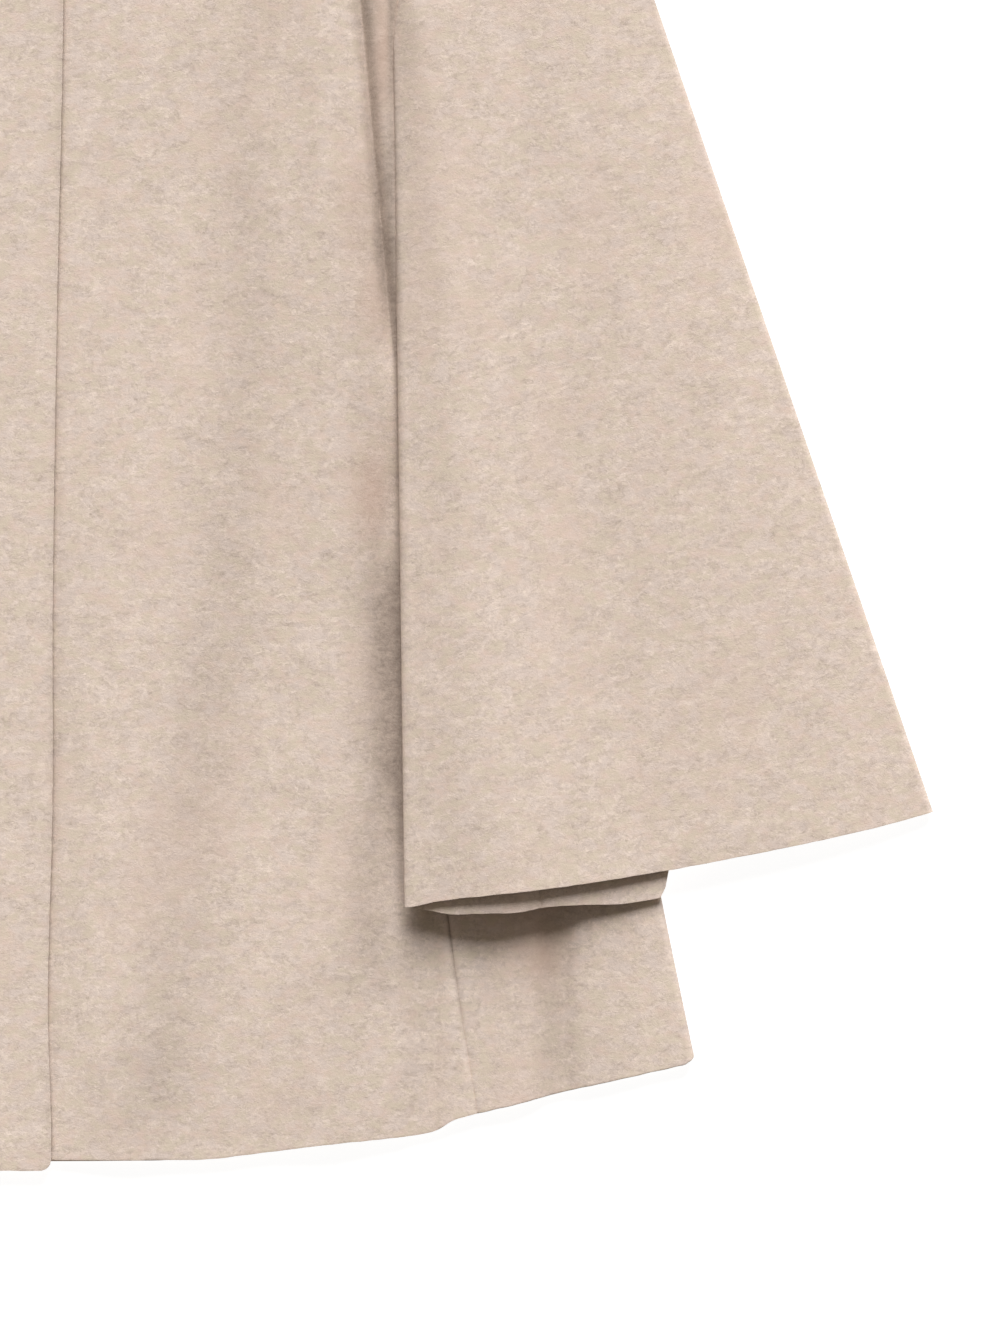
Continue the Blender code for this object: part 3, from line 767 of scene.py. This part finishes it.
def lower_height(share, along, x, y):
    """Middle of the sleeve's lower layer: on the body or the surface, lifted at the cuff."""
    lift = CUFF_LIFT * ramp(along, *CUFF_LIFT_SPAN)
    at_fold = mix(*FOLD_LIFT, ramp(along, *FOLD_LIFT_SPAN))
    lift *= mix(at_fold, 1.0, ramp(share, *FOLD_LIFT_GROWTH))
    lift *= 1 - ramp(share, *CUFF_LIFT_END)
    return BACK_LEVEL + SLEEVE_REST * over_body(x, y) + lift


def loft_across(share, loss, loss_span, at_fold, growth_span):
    """Share of the loft that the upper layer has, from the front fold to the outer fold."""
    across = (1 - loss * ramp(share, *loss_span)) * (1 - share**4)
    return across * mix(at_fold, 1.0, ramp(share, *growth_span))


def upper_height(folds, share, along, x, y):
    """Middle of the sleeve's upper layer: joined to the front at the armhole, then lofted."""
    loft = mix(SLEEVE_LOFT_TOP, SLEEVE_LOFT_CUFF, ramp(along, *LOFT_SPAN))
    by_cuff = loft_across(share, *LOFT_BY_CUFF)
    by_arm = loft_across(share, *LOFT_BY_ARM)
    outer = BACK_LEVEL + OUTER_HEIGHT
    lofted = outer + loft * mix(by_arm, by_cuff, ramp(along, *LOFT_BLEND))
    at_arm = mix(front_height(folds, x, y), outer, ramp(share, *OUTER_SPAN))
    grow = ramp(along, 0.0, mix(*LOFT_GROWTH, ramp(share, *LOFT_GROWTH_SPAN)))
    return mix(at_arm, lofted, grow)


def make_sleeve(name, folds, side, material):
    """A sleeve cut in one, closed by one seam in its lower layer."""
    seam_part, front_part, upper_part, outer_part = 0.10, 0.24, 0.62, 0.70
    columns = [0.0, 0.002, 0.005, *between(0.009, seam_part, 14)]
    columns += [*between(seam_part, front_part, 22), *between(front_part, upper_part, 66)]
    columns += [*between(upper_part, outer_part, 12), *between(outer_part, 0.991, 58)]
    columns += [0.991, 0.995, 0.998, 1.0]
    rows = [0.0, 0.001, 0.0025, 0.005, *between(0.009, 0.26, 36)]
    rows += [*between(0.26, 0.992, 104), 0.992, 0.996, 0.998, 0.999, 1.0]
    seed = 31 if side > 0 else 47

    def heights(share, along):
        x, y = sleeve_plan(share, along, True)
        high = upper_height(folds, share, along, x, y)
        x, y = sleeve_plan(share, along, False)
        return lower_height(share, along, x, y), high

    def turn(share_at, angle, along):
        """Round a fold: share_at is where the two layers end, angle is -90 below to 90 above."""
        low, high = heights(share_at, along)
        return mix(low, high, (1 + math.sin(angle)) / 2)

    def cut_place(x, y, fold_angle, unfolded):
        """The place on the flat cut: beyond a fold the lower layer opens out, mirrored."""
        normal = (math.cos(fold_angle), math.sin(fold_angle))
        off = (x - APEX[0]) * normal[0] + (y - APEX[1]) * normal[1]
        x, y = x - 2 * unfolded * off * normal[0], y - 2 * unfolded * off * normal[1]
        grain = (FRONT_ANGLE + OUTER_ANGLE) / 2
        return (
            x * math.cos(grain) + y * math.sin(grain),
            y * math.cos(grain) - x * math.sin(grain),
        )

    def around(x, y, z, along, fold_angle, unfolded):
        ragged = edge_wander(x, y, seed) * ramp(along, 0.99, 1.0)
        return (x, y + ragged, z), cut_place(x, y, fold_angle, unfolded)

    def point(column, along):
        inner, outer = inner_edge(along), outer_edge(along)
        width = math.dist(inner, outer)
        front = mix(OUTER_ROLL, FRONT_ROLL, ramp(along, *FRONT_ROLL_SPAN)) / width
        back_end = 1 - OUTER_ROLL / width
        seam = mix(SLEEVE_SEAM_TOP, SLEEVE_SEAM_CUFF, along)
        half_slit = SEAM / 2 / width
        if column <= seam_part:
            share = mix(seam - half_slit, front, column / seam_part)
            x, y = sleeve_plan(share, along, False)
            z = lower_height(share, along, x, y) + seam_dip((seam - half_slit - share) * width)
            z = max(z, BACK_LEVEL)
            return around(x, y, z, along, FRONT_ANGLE, 1.0)
        if column < front_part:
            angle = mix(-math.pi / 2, math.pi / 2, (column - seam_part) / (front_part - seam_part))
            share = front * (1 - math.cos(angle))
            low = sleeve_plan(share, along, False)
            high = sleeve_plan(share, along, True)
            x, y = mix_points(low, high, (1 + math.sin(angle)) / 2)
            unfolded = (1 - math.sin(angle)) / 2
            return around(x, y, turn(front, angle, along), along, FRONT_ANGLE, unfolded)
        if column <= upper_part:
            share = mix(front, back_end, (column - front_part) / (upper_part - front_part))
            x, y = sleeve_plan(share, along, True)
            inside = ramp(share, 0.0, 0.15) * (1 - ramp(share, 0.85, 1.0))
            rumple = crumple(x, y, seed) * inside * ramp(along, 0.05, 0.2)
            z = upper_height(folds, share, along, x, y) + rumple
            return around(x, y, z, along, OUTER_ANGLE, 0.0)
        if column < outer_part:
            share = (column - upper_part) / (outer_part - upper_part)
            angle = mix(math.pi / 2, -math.pi / 2, share)
            share = mix(back_end, 1.0, math.cos(angle))
            low = sleeve_plan(share, along, False)
            high = sleeve_plan(share, along, True)
            x, y = mix_points(low, high, (1 + math.sin(angle)) / 2)
            unfolded = (1 - math.sin(angle)) / 2
            return around(x, y, turn(back_end, angle, along), along, OUTER_ANGLE, unfolded)
        share = mix(back_end, seam + half_slit, (column - outer_part) / (1 - outer_part))
        x, y = sleeve_plan(share, along, False)
        z = lower_height(share, along, x, y) + seam_dip((share - seam - half_slit) * width)
        z = max(z, BACK_LEVEL)
        return around(x, y, z, along, OUTER_ANGLE, 1.0)

    return cloth(name, columns, rows, point, side, material, sleeve_painted_shade)


class Socket:
    """A shader socket, or a group of them, that the usual operators join by nodes."""

    def __init__(self, tree, link):
        self.tree = tree
        self.link = link

    def node(self, kind, settings=None, **inputs):
        """A node of this kind: its settings first, then its sockets by name or as n0, n1..."""
        made = self.tree.nodes.new(kind)
        for key, value in (settings or {}).items():
            setattr(made, key, value)
        for key, value in inputs.items():
            socket = made.inputs[int(key[1:]) if key[1:].isdigit() else key]
            if isinstance(value, Socket):
                self.tree.links.new(value.link, socket)
            else:
                socket.default_value = value
        return made

    def out(self, kind, settings=None, pick=0, **inputs):
        """The output with the number pick of such a node."""
        return Socket(self.tree, self.node(kind, settings, **inputs).outputs[pick])

    def maths(self, operation, a, b):
        return self.out("ShaderNodeMath", {"operation": operation}, n0=a, n1=b)

    def __add__(self, other):
        return self.maths("ADD", self, other)

    def __sub__(self, other):
        return self.maths("SUBTRACT", self, other)

    def __mul__(self, other):
        return self.maths("MULTIPLY", self, other)

    def __rsub__(self, other):
        return self.maths("SUBTRACT", other, self)

    def blend(self, a, b):
        """Colour a where this is 0, colour b where it is 1."""
        return self.out(
            "ShaderNodeMix", {"data_type": "RGBA", "clamp_factor": True}, 2, n0=self, n6=a, n7=b
        )

    def shifted(self, scale, offset, turn=0.0):
        return self.out(
            "ShaderNodeMapping",
            Vector=self,
            Scale=scale,
            Location=offset,
            Rotation=(0.0, 0.0, turn),
        )

    def noise(self, scale, detail=2.0, rough=0.5, bend=0.0):
        return self.out(
            "ShaderNodeTexNoise",
            Vector=self,
            Scale=scale,
            Detail=detail,
            Roughness=rough,
            Distortion=bend,
        )

    def steps(self, low, high):
        """0 below low, 1 above high."""
        return self.out(
            "ShaderNodeMapRange", {"interpolation_type": "SMOOTHSTEP"}, n0=self, n1=low, n2=high
        )


def wool(name, base, dark, light, rosy, mossy, roughness):
    """Brushed melange wool: short dark and pale fibres carded into a beige ground."""
    # Darker fibre colours for the painted shade in folds and creases.
    painted_shade_deep = (*(channel * 0.60 for channel in dark[:3]), 1.0)
    painted_shade_pale = (*(channel * 1.22 for channel in dark[:3]), 1.0)
    ruddy = (rosy[0] * 0.86, rosy[1] * 0.78, rosy[2] * 0.72, 1.0)
    material = bpy.data.materials.new(name)
    material.use_nodes = True
    tree = material.node_tree
    shader = tree.nodes["Principled BSDF"]
    start = Socket(tree, None)
    place = start.out("ShaderNodeTexCoord", pick=3)
    cut = start.out("ShaderNodeAttribute", {"attribute_name": "cut"}, 1)
    painted_shade_amount = start.out("ShaderNodeAttribute", {"attribute_name": "nap_and_painted_shade"}, 2)
    blush = start.out("ShaderNodeAttribute", {"attribute_name": "blush"}, 2)

    weft = cut.shifted((1.0, 1.5, 1.0), (0.3, 0.1, 0.0))
    carded = weft.noise(52.0, 5.0, 0.62, 0.4)
    slubs = cut.shifted((1.0, 3.4, 1.0), (0.0, 0.7, 0.0)).noise(130.0, 2.0, 0.6, 0.6)
    tufts = place.shifted((1.0, 1.15, 1.0), (0.2, 0.4, 0.0)).noise(480.0, 2.0, 0.6, 1.6)
    flecks = place.noise(980.0, 2.0, 0.65, 1.2)
    fibres = place.shifted((1.0, 1.8, 1.0), (0.0, 0.0, 0.3), 0.4).noise(1300.0, 2.0, 0.6, 2.0)

    mottle = weft.shifted((1.0, 0.8, 1.0), (1.0, 2.0, 0.0)).noise(230.0, 2.0, 0.6, 1.2)
    shade = (carded - 0.5) * 0.66 + (slubs - 0.5) * 0.54 + (mottle - 0.5) * 0.92
    shade = shade + (tufts - 0.5) * 0.88 + (flecks - 0.5) * 0.34 + 0.5
    colour = shade.blend(dark, light)
    specks = place.shifted((1.0, 1.3, 1.0), (3.3, 0.0, 0.0), 0.5).noise(620.0, 1.0, 0.5, 2.2)
    colour = ((1.0 - specks.steps(0.26, 0.36)) * 0.6).blend(colour, dark)
    sparks = place.shifted((1.3, 1.0, 1.0), (0.0, 6.1, 0.0), 0.2).noise(700.0, 1.0, 0.5, 2.0)
    colour = (sparks.steps(0.66, 0.76) * 0.45).blend(colour, light)
    warm = place.shifted((1.0, 1.5, 1.0), (5.1, 2.3, 0.0)).noise(95.0, 3.0, 0.6)
    cool = place.shifted((1.0, 1.5, 1.0), (1.7, 8.9, 0.0)).noise(120.0, 3.0, 0.6)
    colour = (warm.steps(0.46, 0.74) * 0.8).blend(colour, rosy)
    colour = (cool.steps(0.45, 0.70) * 0.8).blend(colour, mossy)
    colour = ((1.0 - cool.steps(0.30, 0.55)) * 0.6).blend(colour, base)
    broad = place.shifted((1.0, 0.6, 1.0), (4.4, 7.7, 0.0)).noise(24.0, 2.0, 0.5)
    colour = (broad.steps(0.52, 0.72) * 0.28).blend(colour, rosy)
    colour = blush.blend(colour, shade.blend(ruddy, rosy))
    # Painted shade: the colour is darkened where folds, creases and raised edges hold shade.
    colour = painted_shade_amount.blend(colour, shade.blend(painted_shade_deep, painted_shade_pale))
    tree.links.new(colour.link, shader.inputs["Base Color"])

    nap_and_painted_shade = slubs * 0.3 + tufts * 0.7 + fibres * 0.4 + flecks * 0.4
    raised = start.node("ShaderNodeBump", Strength=0.5, Distance=0.0003, Height=nap_and_painted_shade)
    tree.links.new(raised.outputs[0], shader.inputs["Normal"])
    shader.inputs["Roughness"].default_value = roughness
    shader.inputs["Specular IOR Level"].default_value = 0.15
    shader.inputs["Sheen Weight"].default_value = 0.12
    shader.inputs["Sheen Roughness"].default_value = 0.6
    shader.inputs["Sheen Tint"].default_value = (0.95, 0.88, 0.80, 1.0)
    return material


def colour_property(name, description, default):
    return bpy.props.FloatVectorProperty(
        name=name,
        description=description,
        subtype="COLOR",
        size=4,
        min=0.0,
        max=1.0,
        default=default,
    )


def angle_property(name, description, degrees):
    return bpy.props.FloatProperty(
        name=name,
        description=description,
        subtype="ANGLE",
        unit="ROTATION",
        default=math.radians(degrees),
    )


class JacketWool(bpy.types.PropertyGroup):
    """Colours of the cloth."""

    ground: colour_property("Ground", "Colour of most of the wool", (0.695, 0.588, 0.536, 1.0))
    dark_fibre: colour_property(
        "Dark fibre",
        "Colour of the taupe fibres",
        (0.428, 0.343, 0.288, 1.0),
    )
    pale_fibre: colour_property(
        "Pale fibre",
        "Colour of the cream fibres",
        (0.924, 0.780, 0.682, 1.0),
    )
    rosy_tint: colour_property(
        "Rosy tint",
        "Colour of the faint rosy clouds",
        (0.725, 0.560, 0.478, 1.0),
    )
    mossy_tint: colour_property(
        "Mossy tint",
        "Colour of the faint yellow-grey clouds",
        (0.666, 0.570, 0.456, 1.0),
    )
    roughness: bpy.props.FloatProperty(
        name="Roughness",
        description="Roughness of the brushed cloth",
        subtype="FACTOR",
        default=0.95,
        min=0.0,
        max=1.0,
    )


class JacketLight(bpy.types.PropertyGroup):
    """The studio: key light, surrounding light and surface."""

    key_strength: bpy.props.FloatProperty(
        name="Key strength",
        description="Irradiance of the key light",
        default=5.45,
        min=0.0,
    )
    key_height: angle_property("Key height", "Angle of the key light above the surface", 29)
    key_turn: angle_property(
        "Key turn",
        "Angle of the key light from the neck's side towards the wearer's left",
        1,
    )
    key_softness: angle_property("Key softness", "Angle that the key light's face fills", 42)
    floor_glow: bpy.props.FloatProperty(
        name="Floor glow",
        description="Radiance of the lit white surface itself, which keeps its shadows pale",
        default=0.92,
        min=0.0,
    )
    sky_strength: bpy.props.FloatProperty(
        name="Surrounding light",
        description="Radiance of the light from all round",
        default=0.18,
        min=0.0,
    )
    sky_tint: colour_property(
        "Surrounding tint",
        "Colour of the light from all round",
        (1.0, 0.90, 0.77, 1.0),
    )


def wool_material():
    made = bpy.data.materials.get("wool_melange")
    if made:
        return made
    choice = bpy.context.scene.jacket_wool
    return wool(
        "wool_melange",
        tuple(choice.ground),
        tuple(choice.dark_fibre),
        tuple(choice.pale_fibre),
        tuple(choice.rosy_tint),
        tuple(choice.mossy_tint),
        choice.roughness,
    )


class OBJECT_OT_jacket_back(bpy.types.Operator):
    """Makes the back, one piece that lies on the surface"""

    bl_idname = "object.jacket_back"
    bl_label = "Back"

    def execute(self, context):
        back = make_back(wool_material())
        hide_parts("back")
        return {"FINISHED"}


class OBJECT_OT_jacket_fronts(bpy.types.Operator):
    """Makes the two fronts, the right one over the left one"""

    bl_idname = "object.jacket_fronts"
    bl_label = "Fronts"

    def execute(self, context):
        left = make_left_front(wool_material())
        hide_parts("front_left")
        right = make_right_front(wool_material())
        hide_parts("front_right")
        return {"FINISHED"}


class OBJECT_OT_jacket_sides(bpy.types.Operator):
    """Makes the two side panels, folded round the sides"""

    bl_idname = "object.jacket_sides"
    bl_label = "Side panels"

    def execute(self, context):
        for word, folds, side in SIDES:
            name = "side_" + word
            panel = make_side_panel(name + "_cloth", folds, side, wool_material())
            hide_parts(name)
        return {"FINISHED"}


class OBJECT_OT_jacket_sleeves(bpy.types.Operator):
    """Makes the two bell sleeves"""

    bl_idname = "object.jacket_sleeves"
    bl_label = "Sleeves"

    def execute(self, context):
        for word, folds, side in SIDES:
            name = "sleeve_" + word
            sleeve = make_sleeve(name + "_cloth", folds, side, wool_material())
            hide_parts(name)
        return {"FINISHED"}


class OBJECT_OT_jacket_stage(bpy.types.Operator):
    """Makes the pale surface, the light and the camera straight above"""

    bl_idname = "object.jacket_stage"
    bl_label = "Stage"

    def execute(self, context):
        light = context.scene.jacket_light
        mesh = bpy.data.meshes.new("floor")
        plane = bmesh.new()
        bmesh.ops.create_grid(plane, x_segments=1, y_segments=1, size=FLOOR_SIZE)
        bmesh.ops.translate(plane, verts=plane.verts, vec=(0.0, 0.0, -FLOOR_DROP))
        plane.to_mesh(mesh)
        plane.free()
        floor = bpy.data.objects.new("floor", mesh)
        context.scene.collection.objects.link(floor)
        white = bpy.data.materials.new("white_surface")
        white.use_nodes = True
        paper = white.node_tree.nodes["Principled BSDF"]
        paper.inputs["Base Color"].default_value = (0.30, 0.30, 0.30, 1.0)
        paper.inputs["Roughness"].default_value = 1.0
        paper.inputs["Specular IOR Level"].default_value = 0.0
        paper.inputs["Emission Color"].default_value = (1.0, 1.0, 1.0, 1.0)
        paper.inputs["Emission Strength"].default_value = light.floor_glow
        mesh.materials.append(white)

        lamp = bpy.data.lights.new("key", "SUN")
        lamp.energy = light.key_strength
        lamp.angle = light.key_softness
        key = bpy.data.objects.new("key", lamp)
        flat = math.cos(light.key_height)
        towards = Vector(
            (
                math.sin(light.key_turn) * flat,
                math.cos(light.key_turn) * flat,
                math.sin(light.key_height),
            )
        )
        key.rotation_mode = "QUATERNION"
        key.rotation_quaternion = towards.to_track_quat("Z", "Y")
        key.location = towards * 3
        context.scene.collection.objects.link(key)

        world = bpy.data.worlds.new("studio")
        world.use_nodes = True
        sky = world.node_tree.nodes["Background"]
        sky.inputs["Color"].default_value = tuple(light.sky_tint)
        sky.inputs["Strength"].default_value = light.sky_strength
        context.scene.world = world
        context.scene.view_settings.view_transform = "Standard"

        view = bpy.data.cameras.new("camera")
        view.sensor_width = 36.0
        view.lens = view.sensor_width * CAMERA_HEIGHT / (PHOTO_WIDTH * PHOTO_SHAPE)
        view.clip_end = 50.0
        camera = bpy.data.objects.new("camera", view)
        camera.location = (PHOTO_MIDDLE[0], PHOTO_MIDDLE[1] - MIDDLE_Y, CAMERA_HEIGHT)
        context.scene.collection.objects.link(camera)
        context.scene.camera = camera
        return {"FINISHED"}


class VIEW3D_PT_jacket(bpy.types.Panel):
    """Lists the jacket's pieces, its cloth and its light"""

    bl_label = "Wool Jacket"
    bl_space_type = "VIEW_3D"
    bl_region_type = "UI"
    bl_category = "Jacket"

    def draw(self, context):
        for group in (context.scene.jacket_wool, context.scene.jacket_light):
            for name in group.__annotations__:
                self.layout.prop(group, name)
        for operator in OPERATORS:
            self.layout.operator(operator.bl_idname)


OPERATORS = (
    OBJECT_OT_jacket_back,
    OBJECT_OT_jacket_fronts,
    OBJECT_OT_jacket_sides,
    OBJECT_OT_jacket_sleeves,
    OBJECT_OT_jacket_stage,
)
CLASSES = (JacketWool, JacketLight, *OPERATORS, VIEW3D_PT_jacket)


def register():
    for cls in CLASSES:
        bpy.utils.register_class(cls)
    bpy.types.Scene.jacket_wool = bpy.props.PointerProperty(type=JacketWool)
    bpy.types.Scene.jacket_light = bpy.props.PointerProperty(type=JacketLight)


def unregister():
    del bpy.types.Scene.jacket_light
    del bpy.types.Scene.jacket_wool
    for cls in reversed(CLASSES):
        bpy.utils.unregister_class(cls)


def main():
    register()
    bpy.ops.object.jacket_back()
    bpy.ops.object.jacket_fronts()
    bpy.ops.object.jacket_sides()
    bpy.ops.object.jacket_sleeves()
    bpy.ops.object.jacket_stage()


if __name__ == "__main__":
    main()
